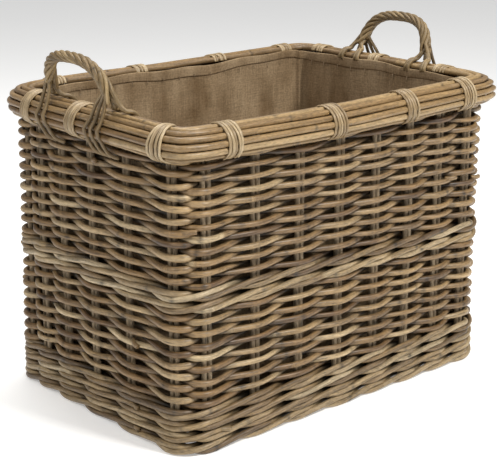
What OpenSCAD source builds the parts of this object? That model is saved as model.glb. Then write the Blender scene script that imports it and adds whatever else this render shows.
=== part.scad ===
// Wicker log basket: a rectangular basket of round cane with paired stakes, a bundled cane rim,
// two rope handles of twisted cane and a sewn hessian liner.
// +Z is up, the long sides run along X, and the origin is on the floor under the middle.

/* [Body] */
// Length of the wall's middle line, where the stakes stand
wall_length = 642; // [600:2:700]
// Width of the wall's middle line
wall_width = 442; // [400:2:480]
// Corner radius of the wall's middle line
corner_radius = 38; // [34:1:44]
// Height of the crest of the rim
rim_height = 495; // [494:1:530]

/* [Cane] */
// Thickness of a weaver
weaver_d = 8.4; // [7.6:0.1:8.6]
// Height that one woven row takes up
row_pitch = 9; // [8.8:0.1:9.2]
// Thickness of a stake
stake_d = 8.2; // [7:0.1:8.4]
// Thickness of a rim cane
rim_cane_d = 10.5; // [10:0.1:10.6]

/* [Stakes] */
// Pairs of stakes in each long side
long_pairs = 8; // [6:2:8]
// Pairs of stakes in each short side
short_pairs = 6; // [4:2:6]
// How far the middle pairs of a long side stand off even spacing, towards +X
long_lean = 26; // [0:1:26]
// How far the middle pairs of a short side stand off even spacing, towards +Y
short_lean = 40; // [0:1:40]

/* [Weave] */
// Rounds of three-rod wale around the foot
foot_rounds = 4; // [3:1:4]
// Rows of weaving below the middle wale
lower_rows = 16; // [12:2:16]
// Rounds of three-rod wale around the middle
middle_rounds = 2; // [1:1:2]
// Rows of weaving above the middle wale
upper_rows = 25; // [20:1:25]

/* [Handles] */
// Distance between the two legs of a handle, centre to centre
handle_width = 148; // [130:2:160]
// Height of the rope's centre line above the crest of the rim
handle_rise = 72; // [62:1:76]
// How far a handle leans outwards, in degrees
handle_lean = 18; // [0:1:24]
// Thickness of the twisted rope
rope_d = 19; // [16:1:22]

/* [Hidden] */
$fn = 48;

clear = 0.4;                                     // gap between pieces that only rest on each other
weaver_offset = stake_d / 2 + weaver_d / 2 + 0.9;  // a weaver's centre from the wall's middle line
wall_face = weaver_offset + weaver_d / 2;          // the wall's outer face from its middle line
stake_gap = 0.5;                                   // between the two stakes of a pair
stake_spread = (stake_d + stake_gap) / 2;          // a stake from the middle of its pair
flat_run = 3.5;                                    // a weaver's straight run beyond the stakes it lies on
plateau = stake_spread + stake_d / 2 + flat_run;   // half the run over which a weaver lies on a pair
corner_steps = 4;                                  // straight steps of a weaver around a corner
joint_gap = 0.2;                                   // where two lengths of a cane or cloth meet at a corner
joint_turn = 45 - 0.15;                            // how far a length of cane runs into a corner, in degrees

half_x = wall_length / 2;
half_y = wall_width / 2;
run_x = half_x - corner_radius;                    // half of the straight run of a long side
run_y = half_y - corner_radius;                    // half of the straight run of a short side
arc_len = corner_radius * PI / 2;
round_len = 4 * run_x + 4 * run_y + 4 * arc_len;   // once around the wall's middle line

// Distance along the middle line at which each side starts: front, right, back, left.
side_start = [0, 2 * run_x + arc_len, 2 * run_x + 2 * run_y + 2 * arc_len,
              4 * run_x + 2 * run_y + 3 * arc_len];
side_run = [run_x, run_y, run_x, run_y];
side_turn = [0, 90, 180, 270];
side_mid = [[0, -half_y], [half_x, 0], [0, half_y], [-half_x, 0]];

// Heights of the layers, from the floor up.
rod_rows = 2;                                      // rods of a wale round seen on one face
wale_round = rod_rows * row_pitch;
foot_top = foot_rounds * wale_round;
lower_top = foot_top + lower_rows * row_pitch;
middle_top = lower_top + middle_rounds * wale_round;
stake_foot = 4;
stake_end = 13.2;                                  // tops of the stakes below the crest of the rim
stake_top = rim_height - stake_end;

// The rim's bundle seen end on: [distance outwards from the wall's middle line, depth below the crest,
// thickness of the cane], from the inner cane over the crest and down the outside.
rim_fan = [[-8, 7, rim_cane_d], [2.5, 5.3, rim_cane_d], [12.8, 8, rim_cane_d], [20.8, 15, rim_cane_d],
           [25.2, 24.7, rim_cane_d], [24.4, 35.3, rim_cane_d], [19.2, 42.6, 7]];
rim_core = [16.7, 26, 5.6];
rim_reach = 25.2;                                  // outermost cane's centre from the wall's middle line
rim_names = ["rim_inner_cane", "rim_crest_cane", "rim_shoulder_cane", "rim_upper_side_cane",
             "rim_side_cane", "rim_lower_side_cane", "rim_under_cane"];

strap_start = 2;                                   // how far a strap goes down behind the inner cane
strap_tuck = [3, 0.8];                             // its run in and down under the lowest cane
binding_t = 1.9;                                   // thickness of the split cane of a binding
binding_w = 28;                                    // width of its turns together
tail_w = 15;                                       // width of the two canes of a handle's foot

// Base.
base_mid = 15;                                     // height of the base's middle
base_stick_d = 8.8;
base_sticks_n = 13;
base_rows = 41;
base_row_pitch = 9.2;
base_offset = base_stick_d / 2 + weaver_d / 2 + clear;
base_frame_d = 12;
base_frame_in = 20.5;                              // frame cane's centre inside the wall's middle line
base_half_x = run_x + 7;
base_stick_in = 16;                                // end sticks inside the ends of the weavers
base_flat = 2;                                     // a base weaver's straight run beyond a stick
base_half_y = half_y - base_frame_in - base_frame_d / 2 - clear;

// Liner.
liner_out = -wall_face - 0.8;                      // outer face of the cloth from the wall's middle line
cloth_t = 2;
liner_in = liner_out - cloth_t;
liner_floor = base_mid + base_offset + weaver_d / 2 + clear;
liner_top = rim_height - 10;
panel_gap = 0.3;                                   // between two thicknesses of cloth
hem_depth = 16;
hem_t = 1.8;
stitch_d = 1.6;
stitch_gap = 0.2;
stitch_len = 7;
stitch_pitch = 34;
stitch_low = 9;                                    // lower end of a stitch below the top of the hem

// Handles.
handle_bend = 52;                                  // radius of a rope's centre line in its two bends
handle_out = 8;                                    // foot of a rope outside the wall's middle line
rope_gap = 0.2;                                    // under a rope's foot

// Half the run of the pairs along a long and a short side. The end pairs of a long side stand inside its
// straight run, and those of a short side a little way into the corners.
pair_span_x = run_x - 3;
pair_span_y = run_y + 12;

// ---- Places along the wall ----

// Where pair i of n stands along a side: even spacing, with the middle pairs moved by lean.
function pair_place(i, n, span, lean) =
    let(u = 2 * i / (n - 1) - 1) span * u + lean * (1 - u * u);

function long_places() =
    [for (i = [0 : long_pairs - 1]) pair_place(i, long_pairs, pair_span_x, long_lean)];
function short_places() =
    [for (i = [0 : short_pairs - 1]) pair_place(i, short_pairs, pair_span_y, short_lean)];

// Distance along the middle line of every pair of one side. The back and left sides run the other way.
function side_pairs(side) =
    let(places = side % 2 == 0 ? long_places() : short_places(),
        n = len(places),
        turned = side >= 2)
    [for (i = [0 : n - 1]) side_start[side] + side_run[side] + (turned ? -places[n - 1 - i] : places[i])];

pairs = [for (side = [0 : 3]) each side_pairs(side)];
n_pairs = len(pairs);

// The side, 0 to 3, that holds a distance s, with the corner after it.
function side_of(s) = s < side_start[1] ? 0 : s < side_start[2] ? 1 : s < side_start[3] ? 2 : 3;

// Position on the wall at a distance s along the middle line and an offset outwards from it.
function wall_point(s, offset) =
    let(t = s < 0 ? s + round_len : s >= round_len ? s - round_len : s,
        side = side_of(t),
        along = t - side_start[side],
        run = 2 * side_run[side],
        a = side_turn[side],
        ahead = [cos(a), sin(a)],
        out = [sin(a), -cos(a)],
        bend = (along - run) / corner_radius * 180 / PI,
        pivot = side_mid[side] + ahead * side_run[side] - out * corner_radius)
    along <= run
        ? side_mid[side] + ahead * (along - side_run[side]) + out * offset
        : pivot + (corner_radius + offset) * (out * cos(bend) + ahead * sin(bend));

// ---- Shapes that repeat ----

// Flat outline of the wall, moved outwards by offset, with round corners.
module wall_outline(offset) {
    r = corner_radius + offset;
    square([2 * (half_x + offset), 2 * run_y], center = true);
    square([2 * run_x, 2 * (half_y + offset)], center = true);
    for (sx = [-1, 1], sy = [-1, 1])
        translate([sx * run_x, sy * run_y]) circle(r);
}

// Joints at the middle of the four corners, where one length ends and the next begins.
module corner_joints() {
    for (sx = [-1, 1], sy = [-1, 1])
        translate([sx * run_x, sy * run_y]) rotate(atan2(sy, sx))
            translate([0, -joint_gap / 2]) square([2 * corner_radius, joint_gap]);
}

// Upright band around the wall between two offsets, from z up by height, in four lengths.
module wall_band(inner, outer, z, height) {
    translate([0, 0, z])
        linear_extrude(height)
            difference() {
                wall_outline(outer);
                wall_outline(inner);
                corner_joints();
            }
}

// Round cane laid once around the wall at an offset and a height, in four lengths: each is the straight
// run of one side and half of the corner at either end.
module wall_cane(offset, z, d) {
    for (side = [0 : 3]) {
        a = side_turn[side];
        ahead = [cos(a), sin(a)];
        out = [sin(a), -cos(a)];
        run = side_run[side];
        mid = side_mid[side] + offset * out;
        translate([mid[0], mid[1], z]) rotate([0, 0, a]) rotate([0, 90, 0])
            cylinder(d = d, h = 2 * run, center = true);
        for (end = [-1, 1]) {
            pivot = side_mid[side] + end * run * ahead - corner_radius * out;
            translate([pivot[0], pivot[1], z])
                rotate([0, 0, a - 90])
                    mirror([0, end < 0 ? 1 : 0, 0])
                        rotate_extrude(angle = joint_turn)
                            translate([corner_radius + offset, 0]) circle(d = d);
        }
    }
}

// Offset of a weaver at a fraction t of the way from pair k to pair k + 1: it changes face in between.
function weaver_at(k, row, t) = ((k + row) % 2 == 0 ? 1 : -1) * weaver_offset * (1 - 2 * t);

// True where the space after pair k goes round a corner, at the end of a long or a short side.
function is_corner(k) =
    let(i = (k + 1) % (long_pairs + short_pairs)) i == 0 || i == long_pairs;

// A weaver's centre line as [distance, offset]: flat over each pair, then across to the other face,
// in several steps where it rounds a corner.
function weaver_line(row) = [
    for (k = [0 : n_pairs - 1])
        let(s = pairs[k],
            next = k == n_pairs - 1 ? pairs[0] + round_len : pairs[k + 1],
            gap = next - s - 2 * plateau,
            steps = is_corner(k) ? corner_steps : 1)
        each concat([[s - plateau, weaver_at(k, row, 0)], [s, weaver_at(k, row, 0)]],
                    [for (i = [0 : steps - 1])
                        [s + plateau + gap * i / steps, weaver_at(k, row, i / steps)]])];

// One weaver, once around the basket, in front of every second pair of stakes and behind the rest. It is
// made of four lengths of cane that meet at the corners.
module weaver(row, z) {
    line = weaver_line(row);
    half = weaver_d / 2;
    translate([0, 0, z])
        linear_extrude(weaver_d)
            difference() {
                polygon([for (p = line) wall_point(p[0], p[1] + half)]);
                polygon([for (p = line) wall_point(p[0], p[1] - half)]);
                corner_joints();
            }
}

// One round of three-rod wale: two rods seen outside the stakes and one inside.
module wale(z) {
    rod = weaver_d;
    for (i = [0 : rod_rows - 1])
        wall_band(weaver_offset - rod / 2, wall_face, z + i * row_pitch, rod);
    wall_band(-wall_face, -weaver_offset + rod / 2, z + (wale_round - rod) / 2, rod);
}

// Upright pairs of stakes of one side.
module stake_pairs(side) {
    for (s = side_pairs(side), i = [-1, 1]) {
        p = wall_point(s + i * stake_spread, 0);
        translate([p[0], p[1], stake_foot])
            cylinder(d = stake_d, h = stake_top - stake_foot);
    }
}

// Path over the rim's bundle as [outwards, height, thickness of the cane there]: up behind the inner
// cane, over the crest, down the outside and in under the lowest cane.
function rim_path() =
    let(first = rim_fan[0],
        last = rim_fan[len(rim_fan) - 1])
    concat([[first[0], rim_height - first[1] - strap_start, first[2]]],
           [for (c = rim_fan) [c[0], rim_height - c[1], c[2]]],
           [[last[0] - strap_tuck[0], rim_height - last[1] - strap_tuck[1], last[2]]]);

// Outward direction of the straight piece of a path after its point i.
function piece_out(path, i) =
    let(d = path[i + 1] - path[i])
    [-d[1], d[0]] / norm([d[0], d[1]]);

// The path moved outwards to run a distance extra clear of the canes.
function rim_skin(extra) =
    let(path = rim_path(),
        last = len(path) - 1)
    [for (i = [0 : last])
        let(before = piece_out(path, max(0, i - 1)),
            after = piece_out(path, min(last - 1, i)),
            middle = (before + after) / norm(before + after))
        [path[i][0], path[i][1]] + middle * (path[i][2] / 2 + extra) / (middle * after)];

// Strap of split cane over the rim, open on the side of the wall.
module rim_strap_section() {
    inner = rim_skin(clear);
    polygon(concat(rim_skin(clear + binding_t), [for (i = [len(inner) - 1 : -1 : 0]) inner[i]]));
}

// A strap of the given width over the rim. Its place is measured along the path from the middle of a side:
// on the straight run it is straight, and beyond it the strap bends with the corner.
module rim_strap(side, place, width) {
    a = side_turn[side];
    run = side_run[side];
    ahead = [cos(a), sin(a)];
    out = [sin(a), -cos(a)];
    if (place <= run) {
        mid = side_mid[side] + place * ahead;
        translate([mid[0], mid[1], 0])
            rotate([0, 0, a - 90]) rotate([90, 0, 0])
                linear_extrude(width, center = true) rim_strap_section();
    } else {
        turn = width / (corner_radius + rim_reach) * 180 / PI;
        middle = (place - run) / corner_radius * 180 / PI;
        pivot = side_mid[side] + run * ahead - corner_radius * out;
        translate([pivot[0], pivot[1], 0])
            rotate([0, 0, a - 90 + middle - turn / 2])
                rotate_extrude(angle = turn)
                    translate([corner_radius, 0]) rim_strap_section();
    }
}

// ---- Base ----

module base_frame() {
    color([0.50, 0.40, 0.28])
        wall_cane(-base_frame_in, base_mid, base_frame_d);
}

function base_stick_x(i) =
    (2 * i / (base_sticks_n - 1) - 1) * (base_half_x - base_stick_in);

module base_sticks() {
    color([0.55, 0.45, 0.32])
        for (i = [0 : base_sticks_n - 1])
            translate([base_stick_x(i), 0, base_mid]) rotate([90, 0, 0])
                cylinder(d = base_stick_d, h = 2 * base_half_y, center = true);
}

// Height of a base weaver's centre over or under stick i.
function base_level(i, row) = ((i + row) % 2 == 0 ? 1 : -1) * base_offset;

module base_weave() {
    half = weaver_d / 2;
    rest = base_stick_d / 2 + base_flat;
    color([0.60, 0.50, 0.36])
        for (row = [0 : base_rows - 1]) {
            line = concat([[-base_half_x, base_level(0, row)]],
                          [for (i = [0 : base_sticks_n - 1], j = [-1, 1])
                              [base_stick_x(i) + j * rest, base_level(i, row)]],
                          [[base_half_x, base_level(base_sticks_n - 1, row)]]);
            n = len(line);
            translate([0, (row - (base_rows - 1) / 2) * base_row_pitch, base_mid])
                rotate([90, 0, 0])
                    linear_extrude(weaver_d, center = true)
                        polygon(concat([for (p = line) [p[0], p[1] - half]],
                                       [for (i = [n - 1 : -1 : 0]) [line[i][0], line[i][1] + half]]));
        }
}

// ---- Walls ----

module stakes_front() { color([0.56, 0.49, 0.38]) stake_pairs(0); }
module stakes_right() { color([0.56, 0.49, 0.38]) stake_pairs(1); }
module stakes_back() { color([0.56, 0.49, 0.38]) stake_pairs(2); }
module stakes_left() { color([0.56, 0.49, 0.38]) stake_pairs(3); }

module foot_wale() {
    color([0.58, 0.52, 0.42])
        for (i = [0 : foot_rounds - 1]) wale(i * wale_round);
}

module lower_weave() {
    color([0.60, 0.50, 0.36])
        for (row = [0 : lower_rows - 1]) weaver(row, foot_top + row * row_pitch);
}

module middle_wale() {
    color([0.62, 0.53, 0.38])
        for (i = [0 : middle_rounds - 1]) wale(lower_top + i * wale_round);
}

module upper_weave() {
    color([0.63, 0.53, 0.39])
        for (row = [0 : upper_rows - 1]) weaver(row, middle_top + row * row_pitch);
}

// ---- Rim ----

module rim_cane(i) {
    c = rim_fan[i];
    color([0.64 - 0.01 * i, 0.54 - 0.01 * i, 0.38]) wall_cane(c[0], rim_height - c[1], c[2]);
}

module rim_core_cane() {
    color([0.52, 0.42, 0.30]) wall_cane(rim_core[0], rim_height - rim_core[1], rim_core[2]);
}

// Places of the bindings on the front, right, back and left sides, along the path from each side's middle.
binding_places = [[-248, -42, 116, 252], [-130, 25, 168], [-268, -107, 67, 237], [-135, -10, 192]];
bindings = [for (side = [0 : 3], place = binding_places[side]) [side, place]];
n_bindings = len(bindings);
function binding_name(i) = str("rim_binding_", i + 1);

module rim_binding(i) {
    color([0.68, 0.60, 0.44]) rim_strap(bindings[i][0], bindings[i][1], binding_w);
}

// ---- Handles ----

// Twisted rope as an arch across a short side, leaning outwards: two legs, two bends and a flat top.
// end is 1 or -1.
module handle_rope(end) {
    leg = handle_width / 2;
    foot = rim_height + clear + binding_t + rope_gap + rope_d / 2 * sin(handle_lean);
    rise = (rim_height + handle_rise - foot) / cos(handle_lean);
    color([0.55, 0.47, 0.34])
        translate([end * (half_x + handle_out), 0, foot])
            rotate([0, end * handle_lean, 0]) {
                for (side = [-1, 1]) {
                    translate([0, side * leg, 0]) cylinder(d = rope_d, h = rise - handle_bend);
                    translate([0, side * (leg - handle_bend), rise - handle_bend])
                        rotate([0, 0, side * 90]) rotate([90, 0, 0])
                            rotate_extrude(angle = 90) translate([handle_bend, 0]) circle(d = rope_d);
                }
                translate([0, 0, rise]) rotate([90, 0, 0])
                    cylinder(d = rope_d, h = 2 * (leg - handle_bend), center = true);
            }
}

module handle_left_rope() { handle_rope(-1); }
module handle_right_rope() { handle_rope(1); }

// Tails of a handle: the two canes of each leg that go over the rim and down into the weave. The path runs
// towards +Y on the right side and towards -Y on the left.
module handle_tail(end, side) {
    color([0.57, 0.49, 0.36]) rim_strap(end > 0 ? 1 : 3, end * side * handle_width / 2, tail_w);
}

tail_ends = [["handle_left_front_tail", -1, -1], ["handle_left_back_tail", -1, 1],
             ["handle_right_front_tail", 1, -1], ["handle_right_back_tail", 1, 1]];

// ---- Liner ----

module liner_walls() {
    color([0.50, 0.41, 0.29]) wall_band(liner_in, liner_out, liner_floor, liner_top - liner_floor);
}

module liner_floor_panel() {
    color([0.50, 0.41, 0.29])
        translate([0, 0, liner_floor]) linear_extrude(cloth_t) wall_outline(liner_in - panel_gap);
}

module liner_hem() {
    color([0.54, 0.45, 0.32])
        wall_band(liner_in - panel_gap - hem_t, liner_in - panel_gap, liner_top - hem_depth, hem_depth);
}

// Tacking stitches that hold the hem: short threads lying on its inner face.
module liner_stitches() {
    n = floor(round_len / stitch_pitch);
    offset = liner_in - panel_gap - hem_t - stitch_gap - stitch_d / 2;
    color([0.72, 0.63, 0.46])
        for (i = [0 : n - 1]) {
            p = wall_point((i + 0.5) * round_len / n, offset);
            translate([p[0], p[1], liner_top - stitch_low]) cylinder(d = stitch_d, h = stitch_len);
        }
}

base_frame();
base_sticks();
base_weave();
foot_wale();
lower_weave();
middle_wale();
upper_weave();
stakes_front();
stakes_right();
stakes_back();
stakes_left();
for (i = [0 : len(rim_fan) - 1]) rim_cane(i);
rim_core_cane();
for (i = [0 : n_bindings - 1]) rim_binding(i);
handle_left_rope();
handle_right_rope();
for (t = tail_ends) handle_tail(t[1], t[2]);
liner_walls();
liner_floor_panel();
liner_hem();
liner_stitches();
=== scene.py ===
# %% [markdown]
# # A wicker log basket
# A rectangular basket of round cane: paired stakes stand up the walls, single canes are woven in and out
# of them, bands of three-rod wale go round the foot and the middle, and a bundle of canes bound with split
# cane makes the rim. Two handles of twisted cane stand on the rim, and a hessian liner hangs inside.
# Everything is in metres, with the floor at z = 0 and the long sides along x.

# %% Load the frame
import bpy
import numpy as np
from math import pi
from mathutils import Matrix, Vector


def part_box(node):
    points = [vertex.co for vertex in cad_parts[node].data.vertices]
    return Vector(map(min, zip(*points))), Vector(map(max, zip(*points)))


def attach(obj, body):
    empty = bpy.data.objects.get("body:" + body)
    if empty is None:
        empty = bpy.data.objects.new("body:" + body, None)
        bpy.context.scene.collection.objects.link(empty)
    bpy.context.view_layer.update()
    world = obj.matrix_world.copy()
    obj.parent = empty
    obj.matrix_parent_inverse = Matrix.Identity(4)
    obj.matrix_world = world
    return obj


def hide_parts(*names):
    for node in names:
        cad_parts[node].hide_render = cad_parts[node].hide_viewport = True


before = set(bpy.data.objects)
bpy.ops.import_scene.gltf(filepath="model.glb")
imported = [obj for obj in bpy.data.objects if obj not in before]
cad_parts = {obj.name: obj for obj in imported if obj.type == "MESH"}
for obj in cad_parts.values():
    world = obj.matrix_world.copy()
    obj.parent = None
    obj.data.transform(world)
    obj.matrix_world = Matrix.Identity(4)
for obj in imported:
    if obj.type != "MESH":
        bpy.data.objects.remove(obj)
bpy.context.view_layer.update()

# %% [markdown]
# ## Camera, floor and light
# The basket is seen from a little above and from its left front corner. A long lens keeps the sides nearly
# parallel. The strongest light is a panel in front of the long side. Weaker panels over the left side and the
# back and a pale sky fill in, as in a simple product studio: light from one side shows how round the cane is.

# %% Camera
CAMERA_DOWN, CAMERA_AHEAD = 16.36, 48.95  # degrees: its tilt below level, and its heading from the x axis
camera = bpy.data.cameras.new("camera")
camera.sensor_width = 36
camera.lens = 98.4
camera_object = bpy.data.objects.new("camera", camera)
camera_object.location = (-1.4466, -1.6531, 0.8782)
camera_object.rotation_euler = (np.radians(90 - CAMERA_DOWN), 0, np.radians(CAMERA_AHEAD - 90))
bpy.context.scene.collection.objects.link(camera_object)
bpy.context.scene.camera = camera_object

# %% Light
def panel_light(name, place, aim, size, power, colour):
    """A square area light of a given edge, turned from its place to face the point aim."""
    light = bpy.data.lights.new(name, "AREA")
    light.size = size
    light.energy = power
    light.color = colour
    lamp = bpy.data.objects.new(name, light)
    lamp.location = place
    x, y, z = np.array(aim, float) - np.array(place, float)
    lamp.rotation_euler = (np.arctan2(np.hypot(x, y), -z), 0, np.arctan2(y, x) - pi / 2)
    bpy.context.scene.collection.objects.link(lamp)


panel_light("key_light", (0.5, -2.2, 2.7), (0, 0, 0.25), 0.7, 100, (1.0, 0.985, 0.95))
panel_light("side_light", (-2.5, -0.5, 2.6), (0, 0, 0.25), 0.9, 33, (1.0, 0.99, 0.97))
panel_light("top_light", (0.2, 0.7, 3.0), (0, 0, 0.2), 1.2, 52, (1.0, 0.99, 0.97))
world = bpy.data.worlds.new("studio")
world.use_nodes = True
world.node_tree.nodes["Background"].inputs["Color"].default_value = (1.0, 1.0, 1.0, 1)
world.node_tree.nodes["Background"].inputs["Strength"].default_value = 0.34
bpy.context.scene.world = world
bpy.context.scene.view_settings.view_transform = "Standard"

# %% [markdown]
# ## Materials as formulas
# A material is a small calculation. The class below wraps one socket, so that an expression such as
# `0.5 + 0.2 * grain` adds the Math nodes itself. Colours go through Mix nodes.

# %% Sockets that can be added and multiplied
class Value:
    """A number that varies over a surface. Each operator adds one Math node to the material."""

    def __init__(self, look, socket):
        self.look, self.socket = look, socket

    def maths(self, operation, *others):
        return self.look.value("ShaderNodeMath", {"operation": operation}, dict(enumerate([self, *others])))

    def __add__(self, other): return self.maths("ADD", other)
    def __radd__(self, other): return self.maths("ADD", other)
    def __sub__(self, other): return self.maths("SUBTRACT", other)
    def __mul__(self, other): return self.maths("MULTIPLY", other)
    def __rmul__(self, other): return self.maths("MULTIPLY", other)
    def clamp(self): return self.look.value("ShaderNodeClamp", {}, {0: self})
    def sin(self): return self.maths("SINE")
    def cos(self): return self.maths("COSINE")


class Look:
    """One material. `node` adds a node: its settings are set first, then its sockets get values or links."""

    def __init__(self, name):
        self.material = bpy.data.materials.new(name)
        self.material.use_nodes = True
        self.tree = self.material.node_tree
        self.tree.nodes.clear()
        self.shader = self.node("ShaderNodeBsdfPrincipled")
        self.output = self.node("ShaderNodeOutputMaterial")
        self.tree.links.new(self.shader.outputs[0], self.output.inputs[0])

    def node(self, kind, settings=None, sockets=None):
        made = self.tree.nodes.new(kind)
        for key, setting in (settings or {}).items():
            if key == "stops":
                self.set_stops(made.color_ramp, setting)
            else:
                setattr(made, key, setting)
        for key, value in (sockets or {}).items():
            self.plug(made.inputs[key], value)
        return made

    def set_stops(self, ramp, stops):
        while len(ramp.elements) < len(stops):
            ramp.elements.new(1.0)
        for element, (place, colour) in zip(ramp.elements, stops):
            element.position = place
            element.color = (*colour, 1)

    def plug(self, socket, value):
        if isinstance(value, Value):
            self.tree.links.new(value.socket, socket)
        else:
            socket.default_value = value

    def value(self, kind, settings=None, sockets=None, out=0):
        return Value(self, self.node(kind, settings, sockets).outputs[out])

    def mix(self, share, first, second):
        """Blend of two colours: first where share is 0, second where it is 1."""
        first, second = [(*c, 1) if isinstance(c, tuple) else c for c in (first, second)]
        return self.value("ShaderNodeMix", {"data_type": "RGBA"}, {0: share, 6: first, 7: second}, 2)

    def shade(self, colour, amount):
        """Colour darkened or lightened: every channel multiplied by amount."""
        return self.value("ShaderNodeVectorMath", {"operation": "SCALE"}, {0: colour, "Scale": amount})

    def vector(self, x, y, z):
        return self.value("ShaderNodeCombineXYZ", {}, {0: x, 1: y, 2: z})

    def noise(self, place, scale, detail=2.0, roughness=0.5):
        return self.value("ShaderNodeTexNoise", {"noise_dimensions": "3D"}, {
            "Vector": place, "Scale": scale, "Detail": detail, "Roughness": roughness}, 0)

    def ramp(self, share, stops):
        return self.value("ShaderNodeValToRGB", {"stops": stops}, {0: share})

    def parts(self, vector):
        split = self.node("ShaderNodeSeparateXYZ", {}, {0: vector})
        return [Value(self, split.outputs[i]) for i in range(3)]

    def finish(self, **sockets):
        for name, value in sockets.items():
            self.plug(self.shader.inputs[name.replace("_", " ")], value)
        return self.material

    def bump(self, height, distance, strength=1.0):
        sockets = {"Height": height, "Distance": distance, "Strength": strength}
        return self.value("ShaderNodeBump", {}, sockets)


# %% [markdown]
# ## The look of cane
# Rattan woven with its skin on dries a patchy grey brown: fine fibres run along it, every cane has its own
# tone, and a dark ring marks each node. The pattern follows the cane through its own
# coordinates: `along` in metres and `around` from 0 to 1. A colour attribute carries the tone of the length
# of cane, how grey it is, where its nodes are and, as its alpha, a painted shade that darkens the runs on
# the inner side of the stakes, where the wall shades them.

# %% Cane material
def cane_look(name, tones, gloss=0.0, rough=0.55, contrast=1.0, streaks=1.0):
    """Cane colour = tone ramp x (1 + fine streaks along the fibres + slow patches), darker at the nodes, x
    painted shade.
    """
    look = Look(name)
    along, around, _ = look.parts(look.value("ShaderNodeUVMap", {"uv_map": "cane"}))
    tone, grey, knot = look.parts(look.value("ShaderNodeAttribute", {"attribute_name": "tone"}, {}, 0))
    # The alpha is a painted shade: low where a cane runs on the inner side of the stakes.
    painted_shade = look.value("ShaderNodeAttribute", {"attribute_name": "tone"}, {}, 3)
    turn = around * (2 * pi)
    across, over = turn.cos(), turn.sin()
    fibre = look.noise(look.vector(along * 38.0 + tone * 91.0, across * 2.6, over * 2.6), 1.0, 4.0, 0.62)
    hair = look.noise(look.vector(along * 120.0 + tone * 53.0, across * 8.0, over * 8.0), 1.0, 2.0)
    spot = look.noise(look.vector(along * 180.0 + tone * 71.0, across * 1.7, over * 1.7), 1.0, 3.0, 0.6)
    slow = look.vector(along * 14.0 + tone * 37.0, across * 0.7, over * 0.7 + grey * 5.0)
    patch = look.noise(slow, 1.0, 2.0)
    colour = look.ramp((tone + (patch - 0.5) * 0.5).clamp(), tones)
    dust = (grey * 0.75 + (fibre - 0.5) * 1.6 * streaks).clamp()
    colour = look.mix(dust * 0.45, colour, (0.235, 0.176, 0.108))
    light = 1.0 + (fibre - 0.5) * (1.9 * contrast * streaks) + (hair - 0.5) * (0.8 * streaks)
    light = light + (patch - 0.5) * (1.0 * contrast) + (spot - 0.5) * 1.3 - knot * 0.5
    colour = look.shade(colour, light.maths("MAXIMUM", 0.12) * painted_shade)
    ridges = fibre * 0.5 + hair * 0.3 + spot * 0.3 - knot * 0.5
    return look.finish(Base_Color=colour, Roughness=(rough + 0.16 * (fibre - 0.5) + grey * 0.1),
                       Coat_Weight=gloss, Coat_Roughness=0.35, Specular_IOR_Level=0.4,
                       Normal=look.bump(ridges, 0.0006, 1.0))


WEAVER_TONES = [(0.0, (0.077, 0.039, 0.014)), (0.25, (0.148, 0.082, 0.029)), (0.5, (0.221, 0.136, 0.056)),
                (0.75, (0.284, 0.190, 0.089)), (1.0, (0.406, 0.306, 0.174))]
WALE_TONES = [(0.0, (0.086, 0.050, 0.021)), (0.35, (0.170, 0.108, 0.046)), (0.7, (0.262, 0.184, 0.092)),
              (1.0, (0.356, 0.278, 0.169))]
STAKE_TONES = [(0.0, (0.150, 0.108, 0.062)), (0.5, (0.260, 0.195, 0.122)), (1.0, (0.400, 0.315, 0.210))]
RIM_TONES = [(0.0, (0.145, 0.081, 0.029)), (0.5, (0.224, 0.139, 0.056)), (1.0, (0.333, 0.228, 0.107))]
BINDING_TONES = [(0.0, (0.198, 0.130, 0.059)), (0.5, (0.280, 0.197, 0.101)), (1.0, (0.387, 0.291, 0.167))]
HANDLE_TONES = [(0.0, (0.095, 0.059, 0.024)), (0.5, (0.169, 0.112, 0.048)), (1.0, (0.275, 0.194, 0.094))]

weaver_look = cane_look("weaver_cane", WEAVER_TONES, gloss=0.28, rough=0.46)
wale_look = cane_look("wale_cane", WALE_TONES, gloss=0.25, rough=0.46)
stake_look = cane_look("stake_cane", STAKE_TONES, rough=0.62)
rim_look = cane_look("rim_cane", RIM_TONES, gloss=0.28, rough=0.44, contrast=0.6)
binding_look = cane_look("split_cane", BINDING_TONES, gloss=0.3, rough=0.42, contrast=0.7, streaks=1.2)
handle_look = cane_look("handle_cane", HANDLE_TONES, gloss=0.12, rough=0.5, contrast=0.8)
base_look = cane_look("base_cane", WEAVER_TONES, rough=0.62)
print("cane materials:", len(bpy.data.materials))

# %% [markdown]
# ## The wall's middle line
# Everything woven follows one line: the rounded rectangle on which the stakes stand. `on_wall` turns a
# distance along that line, an offset outwards and a height into points.

# %% Sizes of the frame
stakes_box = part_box("stakes_front")
STAKE_R = (stakes_box[1][1] - stakes_box[0][1]) / 2
HALF_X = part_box("stakes_right")[1][0] - STAKE_R
HALF_Y = -stakes_box[0][1] - STAKE_R
CORNER = 0.038  # radius of the middle line's corners
RUN_X, RUN_Y = HALF_X - CORNER, HALF_Y - CORNER
ARC = CORNER * pi / 2
ROUND = 4 * (RUN_X + RUN_Y + ARC)
SIDE_START = np.array([0, 2 * RUN_X + ARC, 2 * (RUN_X + RUN_Y + ARC), 4 * RUN_X + 2 * RUN_Y + 3 * ARC])
SIDE_RUN = np.array([RUN_X, RUN_Y, RUN_X, RUN_Y])
CORNER_MIDDLES = SIDE_START + 2 * SIDE_RUN + ARC / 2
FOOT_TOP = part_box("foot_wale")[1][2] + 0.0006
LOWER_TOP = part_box("middle_wale")[0][2]
MIDDLE_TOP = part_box("upper_weave")[0][2]
ROW = 0.009  # height of one row of weaving
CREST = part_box("rim_crest_cane")[1][2]
print("middle line half sizes", HALF_X, HALF_Y, "once round", ROUND)
print("layers", FOOT_TOP, LOWER_TOP, MIDDLE_TOP, CREST)


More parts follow.
